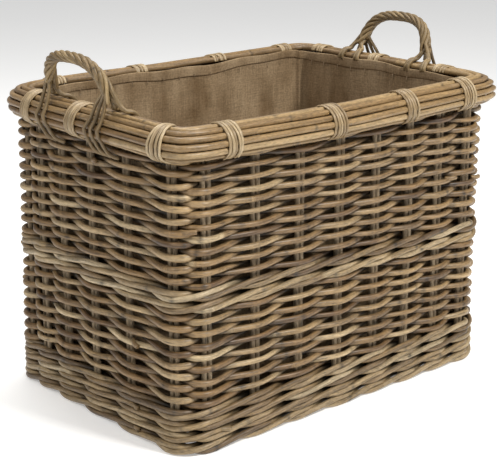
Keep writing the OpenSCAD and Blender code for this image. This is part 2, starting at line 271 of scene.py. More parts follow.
# %% Points on the wall
def side_and_bend(s):
    """The side on which s lies, the distance along it, and how far its corner has turned by then."""
    t = np.mod(np.asarray(s, float), ROUND)
    side = np.searchsorted(SIDE_START, t, side="right") - 1
    along = t - SIDE_START[side]
    return side, along, np.clip((along - 2 * SIDE_RUN[side]) / CORNER, 0, pi / 2)


def wall_frame(s):
    """At distances s along the middle line: the point, the direction ahead and the direction outwards."""
    side, along, bend = side_and_bend(s)
    run = SIDE_RUN[side]
    turn = side * pi / 2
    ahead0 = np.stack([np.cos(turn), np.sin(turn)], -1)
    out0 = np.stack([np.sin(turn), -np.cos(turn)], -1)
    reach = np.where(side % 2 == 0, HALF_Y, HALF_X)
    pivot = out0 * (reach - CORNER)[..., None] + ahead0 * (np.minimum(along, 2 * run) - run)[..., None]
    ahead = ahead0 * np.cos(bend)[..., None] - out0 * np.sin(bend)[..., None]
    out = out0 * np.cos(bend)[..., None] + ahead0 * np.sin(bend)[..., None]
    return pivot + out * CORNER, ahead, out


def away_from(s, middle):
    """Distance from middle to s the shorter way round: positive ahead of it and negative behind."""
    return np.mod(s - middle + ROUND / 2, ROUND) - ROUND / 2


ROUNDING, ROUNDING_REACH = 0.011, 0.060


def rounding(s, z):
    """How far in the wall stands at the rounder back left corner: a bell curve, deepest at the top."""
    away = away_from(s, SIDE_START[3] - ARC / 2)
    return ROUNDING * np.exp(-(away / ROUNDING_REACH) ** 2) * (0.2 + 0.8 * np.clip(z / CREST, 0, 1))


def on_wall(s, offset, z):
    """Point of the middle line at s, moved outwards by offset, at height z."""
    s, offset, z = np.broadcast_arrays(s, offset, z)
    point, _, out = wall_frame(s)
    return np.concatenate([point + out * (offset - rounding(s, z))[..., None], z[..., None]], -1)


def pair_places():
    """Places of the pairs of stakes: even spacing u = -1..1, with the middle ones leaning off by 1 - u^2."""
    places = []
    for side in range(4):
        n, span, lean = ((8, RUN_X - 0.003, 0.026), (6, RUN_Y + 0.012, 0.040))[side % 2]
        u = np.linspace(-1, 1, n)
        place = span * u + lean * (1 - u * u)
        places.append(SIDE_START[side] + SIDE_RUN[side] + (place if side < 2 else -place[::-1]))
    return np.concatenate(places)


# How far the hand-made rim stands above its level at places around the wall, in metres.
SWELL_PLACES = np.array([0.0, 0.13, 0.25, 0.48, 0.60, 0.80, 1.03, 1.30, 1.58, 1.85]) * ROUND / 2.09
SWELL_RISES = np.array([-2.5, -5.0, -5.5, -0.5, 3.0, 4.5, 5.5, 2.0, 1.5, 0.0]) / 1000


def swell(s):
    """Rise of the rim at s: straight slopes between the places above, averaged over 60 mm to either side."""
    s = np.asarray(s, float)
    shifts = np.linspace(-0.06, 0.06, 9)
    return np.mean([np.interp(s + shift, SWELL_PLACES, SWELL_RISES, period=ROUND) for shift in shifts], 0)


# How sharply the rim kinks in each corner: 0 is an even arc, and 1 would be two straight runs that meet.
CORNER_SHARES = np.array([0.24, 0.24, 0.0, 0.32])


def corner_push(s, outward):
    """Extra distance out in a corner: a share of the way from the arc to where the straight runs meet."""
    side, _, bend = side_and_bend(s)
    depth = 1 / np.cos(np.minimum(bend, pi / 2 - bend)) - 1
    return CORNER_SHARES[side] * (CORNER + outward) * depth


def on_rim(s, outward, above):
    """Point of the rim at s: outward from the middle line and above the crest, with its kink and swell."""
    return on_wall(s, outward + corner_push(s, outward), CREST + above + swell(s))


def top_share(z):
    """How much a height follows the rim: 0 at the middle wale and 1 at the crest."""
    return np.clip((z - MIDDLE_TOP) / (CREST - MIDDLE_TOP), 0, 1)


PAIRS = pair_places()
print("pairs of stakes:", len(PAIRS))

# %% [markdown]
# ## Canes as tubes
# A cane is a ring of points carried along a path. At each point of the path the ring lies across it, in the
# directions `side` and `over`. All rings together are one grid, so numpy makes a whole cane at once.

# %% Tubes
def unit(v):
    return v / np.linalg.norm(v, axis=-1, keepdims=True)


def walked(path):
    """Length walked along a path to each of its points."""
    return np.concatenate([[0], np.cumsum(np.linalg.norm(np.diff(path, axis=0), axis=1))])


def tube(path, radius, closed=False, sides=10, up=(0, 0, 1), tone=(0.5, 0.3, 0.0), start=0.0, painted_shade=1.0):
    """Ring of `sides` points around each point of path: centre + radius (cos a side + sin a over)."""
    n = len(path)
    ahead = unit(np.roll(path, -1, 0) - np.roll(path, 1, 0) if closed else np.gradient(path, axis=0))
    side = unit(np.cross(ahead, np.broadcast_to(up, path.shape)))
    over = np.cross(side, ahead)
    a = np.arange(sides) * 2 * pi / sides + pi
    radius = np.broadcast_to(radius, (n,))[:, None, None]
    ring = path[:, None, :] + radius * (np.cos(a)[None, :, None] * side[:, None, :]
                                        + np.sin(a)[None, :, None] * over[:, None, :])
    step = np.linalg.norm(np.diff(path, axis=0, append=path[:1] if closed else path[-1:]), axis=1)
    along = np.concatenate([[0], np.cumsum(step)]) + start
    # The fourth column of the tone is a painted shade: 1 where the cane is fully lit, lower on inner runs.
    tone = np.concatenate([np.broadcast_to(tone, (n, 3)), np.broadcast_to(painted_shade, (n,))[:, None]], 1)
    return {"ring": ring, "along": along, "closed": closed, "tone": tone, "path": path}


def smooth_path(points, n):
    """Even points along a curve through the given ones: a Catmull-Rom spline, walked at equal steps."""
    p = np.concatenate([[2 * points[0] - points[1]], points, [2 * points[-1] - points[-2]]])
    t = np.linspace(0, 1, 12, endpoint=False)[:, None]
    pieces = [0.5 * (2 * b + (c - a) * t + (2 * a - 5 * b + 4 * c - d) * t ** 2
                     + (3 * b - a - 3 * c + d) * t ** 3)
              for a, b, c, d in zip(p[:-3], p[1:-2], p[2:-1], p[3:])]
    curve = np.concatenate(pieces + [points[-1:]])
    far = walked(curve)
    even = np.linspace(0, far[-1], n)
    return np.stack([np.interp(even, far, curve[:, i]) for i in range(3)], -1)


def grid_quads(n, m, closed=False):
    """Corners of the quads between n rings of m points, and the ring and point that each starts from."""
    i, j = np.meshgrid(np.arange(n if closed else n - 1), np.arange(m), indexing="ij")
    i2, j2 = (i + 1) % n, (j + 1) % m
    return np.stack([i * m + j, i * m + j2, i2 * m + j2, i2 * m + j], -1).reshape(-1, 4), i, j


def tube_faces(part, first):
    """Quads between neighbouring rings, and a fan of triangles over each open end, with their coordinates."""
    n, m = part["ring"].shape[:2]
    quads, i, j = grid_quads(n, m, part["closed"])
    quads = quads + first
    low, high = part["along"][i], part["along"][i + 1]
    uv = np.stack([np.stack([low, j / m], -1), np.stack([low, (j + 1) / m], -1),
                   np.stack([high, (j + 1) / m], -1), np.stack([high, j / m], -1)], -2).reshape(-1, 4, 2)
    if part["closed"]:
        return [(quads, uv)]
    k = np.arange(m)
    k2 = (k + 1) % m
    end = first + n * m
    last = first + (n - 1) * m
    tris = np.concatenate([np.stack([k2 + first, k + first, np.full(m, end)], -1),
                           np.stack([k + last, k2 + last, np.full(m, end + 1)], -1)])
    tri_uv = np.stack([np.repeat(part["along"][[0, -1]], m), np.tile(k / m, 2)], -1)
    return [(quads, uv), (tris, np.repeat(tri_uv[:, None, :], 3, 1))]


def add_piece(name, verts, faces, uvs, tones, look, uv_name="cane"):
    """Puts arrays into a new mesh: faces is a list of arrays of corners, uvs their coordinates."""
    mesh = bpy.data.meshes.new(name)
    loops = np.concatenate([f.reshape(-1) for f in faces])
    sizes = np.concatenate([np.full(len(f), f.shape[1]) for f in faces])
    mesh.vertices.add(len(verts))
    mesh.vertices.foreach_set("co", np.asarray(verts, np.float32).reshape(-1))
    mesh.loops.add(len(loops))
    mesh.loops.foreach_set("vertex_index", loops.astype(np.int32))
    mesh.polygons.add(len(sizes))
    mesh.polygons.foreach_set("loop_start", np.concatenate([[0], np.cumsum(sizes)[:-1]]).astype(np.int32))
    mesh.uv_layers.new(name=uv_name)
    mesh.uv_layers[0].data.foreach_set("uv", np.concatenate([u.reshape(-1) for u in uvs]).astype(np.float32))
    if tones is not None:
        mesh.attributes.new("tone", "FLOAT_COLOR", "POINT").data.foreach_set(
            "color", tones.astype(np.float32).reshape(-1))
    mesh.update(calc_edges=True)
    mesh.validate()
    mesh.polygons.foreach_set("use_smooth", np.full(len(mesh.polygons), True))
    mesh.materials.append(look)
    piece = bpy.data.objects.new(name, mesh)
    bpy.context.scene.collection.objects.link(piece)
    return piece


def add_canes(name, parts, look, nodes):
    """Joins tubes into one piece, rides it on the basket and lets it stand for its CAD nodes."""
    verts, faces, tones = [], [], []
    for part in parts:
        faces += tube_faces(part, sum(len(v) for v in verts))
        verts.append(part["ring"].reshape(-1, 3))
        tones.append(np.repeat(part["tone"], part["ring"].shape[1], 0))
        if not part["closed"]:
            verts.append(part["path"][[0, -1]])
            tones.append(part["tone"][[0, -1]])
    groups = [[f for f in faces if f[0].shape[1] == corners] for corners in (4, 3)]
    groups = [group for group in groups if group]
    piece = add_piece(name, np.concatenate(verts), [np.concatenate([f[0] for f in g]) for g in groups],
                      [np.concatenate([f[1] for f in g]) for g in groups], np.concatenate(tones), look)
    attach(piece, "root")
    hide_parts(*nodes)
    print(name, "canes", len(parts), "triangles", sum(len(f[0]) * (f[0].shape[1] - 2) for f in faces))


# %% [markdown]
# ## Natural unevenness
# No cane is straight or even. `wander` is a sum of sine waves with random phases that closes on itself once
# round the basket. `lengths` deals out tones: a cane is short, so the colour changes a few times on its way.

# %% Unevenness
chance = np.random.default_rng(41)


def wander(s, size, longest=0.6, shortest=0.12):
    """Sum of 12 sine waves of random phase whose wavelengths divide the way round, scaled to size."""
    waves = chance.integers(max(1, int(ROUND / longest)), int(ROUND / shortest) + 1, 12)
    phase = chance.uniform(0, 2 * pi, 12)
    return size * np.sin(np.asarray(s)[..., None] * waves * 2 * pi / ROUND + phase).sum(-1) / 12 ** 0.5


def lengths(along, mean=1.1, spread=0.23, grey=0.3, knots=0.24):
    """Tone, greyness and node marks along a cane: values change where one length of cane ends."""
    total = along[-1] - along[0] + 1e-6
    cuts = np.cumsum(chance.uniform(0.6, 1.4, int(total / mean * 2) + 3) * mean) - mean * chance.uniform(0, 1)
    which = np.searchsorted(cuts, along - along[0])
    tone = np.clip(0.5 + spread * chance.standard_normal(len(cuts) + 1), 0.02, 0.98)[which]
    dust = np.clip(grey + 0.25 * chance.standard_normal(len(cuts) + 1), 0, 1)[which]
    marks = np.cumsum(chance.uniform(0.6, 1.5, int(total / knots * 2) + 3) * knots)
    nearest = np.abs((along - along[0])[:, None] - marks[None, :]).min(1)
    gap = np.median(np.diff(along))
    knot = (nearest <= gap / 2).astype(float)
    return np.stack([tone, dust, knot], -1)


def painted_inner_shade(offset):
    """Painted shade of a cane: 1 outside the stakes, falling to a seventh where it runs in shade on their
    inner side.
    """
    return 1 - 0.85 * np.clip((0.003 - offset) / 0.009, 0, 1)


def soften(values, passes):
    """Repeats the average of each value with its two neighbours, on a closed line."""
    for _ in range(passes):
        values = (np.roll(values, 1, 0) + 2 * values + np.roll(values, -1, 0)) / 4
    return values


# %% [markdown]
# ## The walls' weaving
# In plain weaving a cane passes in front of one pair of stakes and behind the next, and the row above does
# the opposite, with dark gaps beside each pair. The rows are not level: by the left front corner the upper
# rows lie closer together and the lower rows wider.

# %% Sampling the way round
STEPS = 12  # points from one pair of stakes to the next
gaps = np.diff(PAIRS, append=PAIRS[0] + ROUND)
WAY = (PAIRS[:, None] + gaps[:, None] * (np.arange(STEPS) / STEPS)).reshape(-1)
FRONT_LEFT = ROUND - ARC / 2


def fan(s, z):
    """Slow drift of the rows: up to 4 mm at the middle wale, none at foot and rim, as a cosine round."""
    share = np.interp(z, [0, FOOT_TOP, (LOWER_TOP + MIDDLE_TOP) / 2, CREST - 0.02], [0, 0.05, 1, 0])
    return 0.004 * share * np.cos((np.asarray(s) - FRONT_LEFT) * 2 * pi / ROUND) + top_share(z) * swell(s)


def jitter(size):
    """A different small height at every pair of stakes, joined by straight slopes."""
    return np.interp(WAY, PAIRS, chance.normal(0, size, len(PAIRS)), period=ROUND)


WEAVER_R, WEAVER_REACH, WEAVER_FLAT = 0.00432, 0.0096, 0.0105


def in_and_out(sign):
    """Offset of a weaver: out or in by its reach along its flat at each pair, softened in between."""
    fine = np.arange(0, ROUND, 0.002)
    corners = np.sort(np.concatenate([PAIRS - WEAVER_FLAT, PAIRS + WEAVER_FLAT]))
    line = soften(np.interp(fine, corners, np.repeat(sign, 2) * WEAVER_REACH, period=ROUND), 26)
    return np.interp(WAY, fine, line, period=ROUND)


def near_corner(s):
    """1 at the middle of each corner, falling away as a bell curve over 30 mm: packed rows swell there."""
    return np.exp(-(away_from(s[:, None], CORNER_MIDDLES) / 0.030) ** 2).sum(1)


def cane_end(z):
    """Cut end of a cane: it comes out from behind a stake and stands a little off the outside of the wall."""
    s = PAIRS[chance.integers(len(PAIRS))] + 0.013
    along = np.array([0.0, 0.006, 0.012, 0.017 + chance.uniform(0, 0.005)])
    outward = np.array([0.0040, 0.0090, 0.0118, 0.0132])
    path = on_wall(s + along, outward, z + along * chance.uniform(-0.2, 0.2))
    tone = (chance.uniform(0.3, 0.6), chance.uniform(0.1, 0.5), 0.0)
    return tube(smooth_path(path, 10), 0.0037, tone=tone, start=chance.uniform(0, 9))


# %% Plain weaving
def weave(name, first_z, rows, node):
    """Rows of weavers, each once round the wall, out where the row and the pair add up to an even number."""
    parts = [cane_end(first_z + chance.integers(2, rows - 2) * ROW) for _ in range(rows // 4)]
    k = np.arange(len(PAIRS))
    for row in range(rows):
        sign = np.where((k + row) % 2 == 0, 1.0, -1.0)
        level = first_z + (row + 0.5) * ROW
        offset = in_and_out(sign) + wander(WAY, 0.0005) + top_share(level) * corner_push(WAY, 0.0)
        z = level + fan(WAY, level) + soften(jitter(0.0013), 2) + wander(WAY, 0.0006, 0.5, 0.1)
        seam = chance.integers(len(WAY))
        path = np.roll(on_wall(WAY, offset, z), seam, 0)
        tone = lengths(walked(path), mean=0.8, spread=0.24, grey=0.32)
        radius = WEAVER_R + chance.normal(0, 0.0003) + wander(WAY, 0.0003, 1.0, 0.25)
        radius = np.clip(radius * (1 + 0.08 * tone[:, 2]), 0.0036, 0.0053)
        radius = radius + 0.0010 * np.roll(near_corner(WAY), seam)
        # Runs on the inner side of the stakes get a painted shade.
        parts.append(tube(path, radius, True, tone=tone, start=chance.uniform(0, 9),
                          painted_shade=painted_inner_shade(np.roll(offset, seam))))
    add_canes(name, parts, weaver_look, [node])


weave("lower_weaving", FOOT_TOP, 16, "lower_weave")
weave("upper_weaving", MIDDLE_TOP, 25, "upper_weave")

# %% [markdown]
# ## The wales
# A three-rod wale is a rope laid around the wall: each rod passes in front of two pairs and behind the third,
# rising as it goes. Here one rod goes three times round, which gives the three strands of a round and closes
# on itself.

# %% Wale
WALE_R, WALE_REACH, WALE_RISE, WALE_FLAT = 0.0044, 0.0098, 0.0052, 0.011
LOWEST = 0.0047  # no rod's middle lies lower than this, so that the basket stands on the floor
WAVE = 0.075  # length of one wave of the foot's lower edge


def wale(name, first_z, rounds, node, wavy):
    """Rods that go three times round: out, out, in and low, high, level on every three pairs, softened."""
    parts = [cane_end(first_z + (i + 0.8) * 2 * ROW) for i in range(rounds)]
    way = np.concatenate([WAY + i * ROUND for i in range(3)])
    marks = np.concatenate([PAIRS + i * ROUND for i in range(3)])
    corners = np.sort(np.concatenate([marks - WALE_FLAT, marks + WALE_FLAT]))
    fine = np.arange(0, 3 * ROUND, 0.002)
    for turn in range(rounds):
        phase = (np.arange(len(marks)) + turn) % 3
        reach = np.array([1, 1, -1])[phase] * WALE_REACH
        rise = np.array([-1, 1, 0])[phase] * WALE_RISE
        offset = soften(np.interp(fine, corners, np.repeat(reach, 2), period=3 * ROUND), 30)
        lift = soften(np.interp(fine, marks, rise, period=3 * ROUND), 24)
        offset = np.interp(way, fine, offset) + wander(way, 0.0004)
        middle = first_z + (turn + 0.5) * 2 * ROW
        z = middle + np.interp(way, fine, lift) + fan(way, middle) + wander(way, 0.0007)
        if turn == 0:
            z = z + wavy * np.abs(np.sin(way * pi / WAVE))
        seam = chance.integers(len(way))
        path = np.roll(on_wall(way, offset, np.maximum(z, LOWEST)), seam, 0)
        tone = lengths(walked(path), mean=0.75, spread=0.28, grey=0.32)
        radius = (WALE_R + wander(way, 0.0003, 1.0, 0.25)) * (1 + 0.07 * tone[:, 2])
        # Runs on the inner side of the stakes get a painted shade.
        parts.append(tube(path, np.clip(radius, 0.0038, 0.0052), True, tone=tone, start=chance.uniform(0, 9),
                          painted_shade=painted_inner_shade(np.roll(offset, seam))))
    add_canes(name, parts, wale_look, [node])


wale("foot_waling", 0.0, 4, "foot_wale", 0.0006)
wale("middle_waling", LOWER_TOP, 2, "middle_wale", 0.0)

# %% [markdown]
# ## Stakes
# The stakes stand in pairs on the middle line. They show in the gaps between the rows, paler and greyer than
# the weavers.

# %% Stakes
BARE_STAKE_R, STAKE_APART = 0.0041, 0.00435


def stakes(name, first, last, node):
    """The pairs first to last: two upright canes each, swaying by a slow sine and rising with the rim."""
    parts = []
    z = np.linspace(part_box(node)[0][2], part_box(node)[1][2], 26)
    for s in PAIRS[first:last]:
        for hand in (-1, 1):
            sway = 0.0006 * np.sin(z * chance.uniform(14, 30) + chance.uniform(0, 6))
            path = on_wall(s + hand * STAKE_APART + sway, 0.0004 * np.sin(z * 23 + chance.uniform(0, 6)),
                           z + top_share(z) * (swell(s) - 0.001))
            tone = lengths(z - z[0], mean=2.0, grey=0.5, knots=0.2)
            parts.append(tube(path, BARE_STAKE_R * (1 + 0.08 * tone[:, 2]), up=(1, 0.02, 0), tone=tone,
                              start=chance.uniform(0, 9)))
    add_canes(name, parts, stake_look, [node])


stakes("front_stakes", 0, 8, "stakes_front")
stakes("right_stakes", 8, 14, "stakes_right")
stakes("back_stakes", 14, 22, "stakes_back")
stakes("left_stakes", 22, 28, "stakes_left")

# %% [markdown]
# ## The rim
# The stakes' tips are covered by a fan of long canes, laid side by side over the edge and down the outside.
# Each cane goes once round and bends at the corners. The lowest cane is thinner, and a core lies inside.

# %% Rim canes
# For each cane, in mm: outward from the middle line, below the crest, and radius.
RIM = {"rim_inner_cane": (-8, 7, 5.25), "rim_crest_cane": (2.5, 5.3, 5.25),
       "rim_shoulder_cane": (12.8, 8, 5.25), "rim_upper_side_cane": (20.8, 15, 5.25),
       "rim_side_cane": (25.2, 24.7, 5.25), "rim_lower_side_cane": (24.4, 35.3, 5.25),
       "rim_under_cane": (19.2, 42.6, 3.7), "rim_core_cane": (16.7, 26, 2.8)}


def rim_cane(node, outward, below, radius):
    """One cane of the fan, once round: it sways a little off its place, and swells at its nodes."""
    way = np.linspace(0, ROUND, 420, endpoint=False)
    sway, lift = [wander(way, 0.0004, 0.9, 0.15) for _ in range(2)]
    path = np.roll(on_rim(way, outward / 1000 + sway, -below / 1000 + lift), chance.integers(len(way)), 0)
    tone = lengths(walked(path), mean=1.3, spread=0.27, grey=0.18, knots=0.33)
    size = (radius / 1000 - 0.00045 + wander(way, 0.0002, 1.0, 0.3)) * (1 + 0.04 * tone[:, 2])
    part = tube(path, size, True, sides=14, tone=tone, start=chance.uniform(0, 9))
    add_canes(node.replace("rim_", "rim_round_"), [part], rim_look, [node])


for node, (outward, below, radius) in RIM.items():
    rim_cane(node, outward, below, radius)

# %% [markdown]
# ## Bindings
# Fourteen bindings hold the fan, at uneven places: split cane, flat inside and rounded outside, wound five
# turns tightly around it. Each turn is a strip that follows the skin of the fan, and each is laid
# a little out of line with the others.

# %% Skin of the rim
def rim_skin(clearance):
    """Points just outside the fan's canes, from behind the inner one, over the crest, to under the last."""
    canes = np.array([RIM[k] for k in list(RIM)[:-1]])
    behind, under = canes[0] + (0, 3, 0), canes[-1] + (-4.5, 1.6, 0)
    canes = np.concatenate([[behind], canes, [under]])
    centre, radius = canes[:, :2], canes[:, 2]
    centre[:, 1] *= -1
    ahead = unit(np.gradient(centre, axis=0))
    out = np.stack([-ahead[:, 1], ahead[:, 0]], -1)
    skin = centre + out * (radius + clearance)[:, None]
    far = walked(skin)
    even = np.linspace(0, far[-1], 44)
    skin = np.stack([np.interp(even, far, skin[:, i]) for i in range(2)], -1)
    for _ in range(3):
        skin[1:-1] = (skin[:-2] + 2 * skin[1:-1] + skin[2:]) / 4
    ahead = unit(np.gradient(skin, axis=0))
    return skin / 1000, np.stack([-ahead[:, 1], ahead[:, 0]], -1)


# Section of a strip: across in half widths, and out in thicknesses.
STRIP = np.array([(-1, 0), (-0.93, 0.4), (-0.6, 0.82), (0, 1.0),
                  (0.6, 0.82), (0.93, 0.4), (1, 0), (0, -0.15)])


def strip(s, drift, width, thick, skin, out, tone, start):
    """Carries the flat-bottomed section STRIP along the skin at the place s + drift around the wall."""
    n = len(skin)
    place = np.broadcast_to(s, (n,)) + drift
    _, ahead, outward = wall_frame(place)
    centre = on_rim(place, skin[:, 0], skin[:, 1])
    normal = np.concatenate([outward * out[:, :1], out[:, 1:]], -1)
    sideways = np.concatenate([ahead, np.zeros((n, 1))], -1)
    ring = centre[:, None, :] + STRIP[None, ::-1, :1] * (width / 2) * sideways[:, None, :] \
        + STRIP[None, ::-1, 1:] * np.broadcast_to(thick, (n,))[:, None, None] * normal[:, None, :]
    far = walked(centre) + start
    return {"ring": ring, "along": np.append(far, far[-1]), "closed": False, "path": centre, "tone": tone}


TURNS, TURN_PITCH, STRIP_WIDTH, STRIP_THICK = 5, 0.0057, 0.0051, 0.0021


def binding(number, s, spread):
    """Turns side by side, each with a small lean and sway. The last one's end crosses below the others."""
    parts = []
    for i in range(TURNS):
        skin, out = rim_skin(0.1 + chance.uniform(0, 0.5))
        t = np.linspace(-1, 1, len(skin))
        place = (i - (TURNS - 1) / 2) * TURN_PITCH * spread + chance.normal(0, 0.0004)
        drift = place + chance.normal(0, 0.0011) * t + chance.normal(0, 0.0008) * t * t
        if i == TURNS - 1:
            drift = drift + 0.006 * np.clip((t - 0.72) / 0.28, 0, 1) ** 2
        tone = (np.clip(0.5 + 0.28 * chance.standard_normal(), 0, 1), chance.uniform(0, 0.4), 0.0, 1.0)
        parts.append(strip(s, drift, STRIP_WIDTH + chance.uniform(-0.0006, 0.0004), STRIP_THICK, skin, out,
                           np.tile(tone, (len(skin), 1)), chance.uniform(0, 9)))
    add_canes("binding_%02d" % number, parts, binding_look, ["rim_binding_%d" % number])


# Places on the front, right, back and left sides, measured ahead from the middle of each side.
BINDING_PLACES = [(-0.248, -0.042, 0.116, 0.252), (-0.130, 0.025, 0.168), (-0.268, -0.107, 0.067, 0.237),
                  (-0.135, -0.010, 0.190)]
places = [(side, place) for side in range(4) for place in BINDING_PLACES[side]]
for number, (side, place) in enumerate(places, 1):
    spread = 0.58 if place > SIDE_RUN[side] else 1.0  # closer in a corner, whose outside is longer
    binding(number, SIDE_START[side] + SIDE_RUN[side] + place, spread)

# %% [markdown]
# ## Handles
# A handle is a rope of six canes twisted around a core. It leans outwards, and its feet spread at the rim.
# There the canes part: at each foot two pairs splay over the crest and down inside the rim, and the
# rest go over the outside and into the weaving. Each cane is one smooth path.

# %% Rope canes
LEAN = np.radians(18)
ROPE_CANES, ROPE_CANE_R = 6, 0.0033
ROPE_TWIST = 0.098  # length of rope in which a cane goes once around it
ROPE_HALF, FOOT_SPREAD = 0.0745, 0.006
ROPE_OUT, ROPE_FOOT = 0.0085, 0.006  # its feet: outward from the middle line, and above the crest
ROPE_RISE = (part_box("handle_left_rope")[1][2] - 0.0090 - CREST - ROPE_FOOT) / np.cos(LEAN)


def side_middle(end):
    """Distance along the wall of the middle of a short side: end is 1 on the right and -1 on the left."""
    return SIDE_START[1 if end > 0 else 3] + RUN_Y


def arch(n):
    """Middle line of the rope in its plane: a rounded arch whose feet spread, and its length so far."""
    a = np.linspace(0, pi, 400)
    place = -np.sign(np.cos(a)) * np.abs(np.cos(a)) ** 0.72 * ROPE_HALF
    rise = np.maximum(np.sin(a), 0) ** 0.72 * ROPE_RISE
    place = place + np.sign(place) * FOOT_SPREAD * np.exp(-(rise / 0.018) ** 2)
    far = np.concatenate([[0], np.cumsum(np.hypot(np.diff(place), np.diff(rise)))])
    even = np.linspace(0, far[-1], n)
    return np.interp(even, far, place), np.interp(even, far, rise), even


def rope_points(end, place, rise, aside):
    """From the leaning plane to the room: place along the side, rise up the plane and aside out of it."""
    return on_wall(side_middle(end) + place, ROPE_OUT + rise * np.sin(LEAN) + aside * np.cos(LEAN),
                   CREST + ROPE_FOOT + rise * np.cos(LEAN) - aside * np.sin(LEAN))


def limb(end, foot, shift):
    """End of a cane, from its tip: up behind the inner cane, over it and the crest and to the rope's foot."""
    depth = 0.014 + chance.uniform(-0.002, 0.003)
    return on_rim(side_middle(end) + foot + shift * np.array([1.0, 0.97, 0.88, 0.72, 0.40]),
                  np.array([-0.0172, -0.0165, -0.0085, 0.0015, 0.0075]),
                  np.array([-depth, -0.0065, 0.0018, 0.0040, 0.0130]))


def handle(name, end, node):
    """Canes laid around the arch's middle line at even angles that turn steadily, and their splayed ends."""
    place, rise, far = arch(90)
    ahead = unit(np.stack([np.gradient(place), np.gradient(rise)], -1))
    size = 0.0056 + 0.0018 * np.abs(place / (ROPE_HALF + FOOT_SPREAD)) ** 4
    parts = []
    for j in range(ROPE_CANES):
        angle = j * 2 * pi / ROPE_CANES - 2 * pi * far / ROPE_TWIST
        level = np.sin(angle) * size
        body = rope_points(end, place - level * ahead[:, 1], rise + level * ahead[:, 0], np.cos(angle) * size)
        if j % 3 == 2:
            body = body[4:-4]
        else:
            shift = 0.019 if j % 3 == 0 else -0.019
            aside = 0.003 if j < 3 else -0.003
            first, last = limb(end, place[0], shift + aside), limb(end, place[-1], shift - aside)
            head = smooth_path(np.concatenate([first, body[10:11]]), 34)
            tail = smooth_path(np.concatenate([last, body[-11:-10]]), 34)[::-1]
            body = np.concatenate([head, body[11:-11], tail])
        tone = lengths(walked(body), mean=3.0, spread=0.2, grey=0.2, knots=0.3)
        parts.append(tube(body, ROPE_CANE_R + chance.normal(0, 0.0001), up=(1, 0.01, 0.02), tone=tone,
                          start=chance.uniform(0, 9)))
    core = rope_points(end, place, rise, 0.0)
    parts.append(tube(core, 0.0034, up=(1, 0, 0), sides=8, tone=lengths(far)))
    add_canes(name, parts, handle_look, [node])


handle("left_handle", -1, "handle_left_rope")
handle("right_handle", 1, "handle_right_rope")

# %% Handle tails
# Places along the side, from its middle: where a cane leaves the rope, crosses the crest and ends below.
LOOSE_TAILS = {1: [(0.0770, 0.072, 0.066), (0.0745, 0.059, 0.048), (0.0715, 0.047, 0.031)],
               -1: [(-0.078, -0.087, -0.094), (-0.072, -0.073, -0.074)]}


def tails(name, end, side, node):
    """Canes of a leg that run down the outside of the rim, from a crest place to a lower one."""
    parts = []
    skin, _ = rim_skin(3.2)
    skin = skin[skin[:, 0] > 0.0215][:-6]
    t = np.linspace(0, 1, len(skin))
    for rope_place, crest_place, low_place in LOOSE_TAILS[end * side]:
        s = side_middle(end) + crest_place + (low_place - crest_place) * t
        down = on_rim(s, skin[:, 0], skin[:, 1])
        rise = np.array([0.034, 0.021, 0.008])
        head = rope_points(end, np.interp(rise, [0.004, 0.030], [crest_place, rope_place]), rise,
                           np.array([0.0005, 0.0068, 0.0115]))
        last = s[-1] + np.array([0.003, 0.010, 0.019])
        toe = on_rim(last, np.array([0.0215, 0.0165, 0.0080]), np.array([-0.053, -0.062, -0.067]))
        path = smooth_path(np.concatenate([head, down[3::4], toe]), 46)
        tone = lengths(walked(path), mean=3.0, grey=0.2)
        parts.append(tube(path, 0.0028, up=(0.02, 1, 0.01), tone=tone, start=chance.uniform(0, 9)))
    add_canes(name, parts, handle_look, [node])


for hand, end in (("left", -1), ("right", 1)):
    for depth, side in (("front", -1), ("back", 1)):
        tails("%s_%s_tail" % (hand, depth), end, side, "handle_%s_%s_tail" % (hand, depth))

# %% [markdown]
# ## The base
# The base is woven flat: sticks across, weavers along, and a stout cane round its edge.

# %% Base
STICKS, STICK_R, BASE_ROWS, BASE_WEAVER_R = 13, 0.0044, 41, 0.0042


def base_pieces():
    """Straight sticks across, weavers over one stick and under the next, and a thick cane round them."""
    low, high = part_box("base_sticks")
    middle = (low[2] + high[2]) / 2
    stick_x = np.linspace(low[0] + STICK_R, high[0] - STICK_R, STICKS)
    y = np.linspace(low[1], high[1], 24)
    parts = []
    for x in stick_x:
        path = np.stack([np.full(24, x) + wander(y, 0.0004), y, np.full(24, middle)], -1)
        parts.append(tube(path, STICK_R, tone=lengths(y - y[0], grey=0.4), start=chance.uniform(0, 9)))
    add_canes("base_crossing_sticks", parts, base_look, ["base_sticks"])

    low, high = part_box("base_weave")
    x = np.linspace(low[0], high[0], 130)
    parts = []
    for row, y0 in enumerate(np.linspace(low[1] + BASE_WEAVER_R, high[1] - BASE_WEAVER_R, BASE_ROWS)):
        sign = np.where((np.arange(STICKS) + row) % 2 == 0, 1.0, -1.0)
        z = middle + 0.0088 * np.interp(x, stick_x, sign)
        for _ in range(2):
            z[1:-1] = (z[:-2] + 2 * z[1:-1] + z[2:]) / 4
        path = np.stack([x, y0 + wander(x, 0.0004), z], -1)
        tone = lengths(x - x[0], grey=0.35)
        parts.append(tube(path, BASE_WEAVER_R, sides=8, tone=tone, start=chance.uniform(0, 9)))
    add_canes("base_weaving", parts, base_look, ["base_weave"])

    low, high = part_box("base_frame")
    radius = (high[2] - low[2]) / 2
    inset = HALF_X - (high[0] - radius)
    way = np.linspace(0, ROUND, 240, endpoint=False)
    path = on_wall(way, -inset, np.full(240, (low[2] + high[2]) / 2))
    edge = tube(path, radius, True, sides=14, tone=lengths(way))
    add_canes("base_edge_cane", [edge], base_look, ["base_frame"])


base_pieces()

# %% [markdown]
# ## The liner
# A hessian bag hangs inside: one strip for the walls, hemmed along its top, and a flat floor panel.
# How far it hangs off the wall is a sum of shallow upright folds, deeper at the corners, where the spare
# cloth gathers, and flatter along the seam at its top.

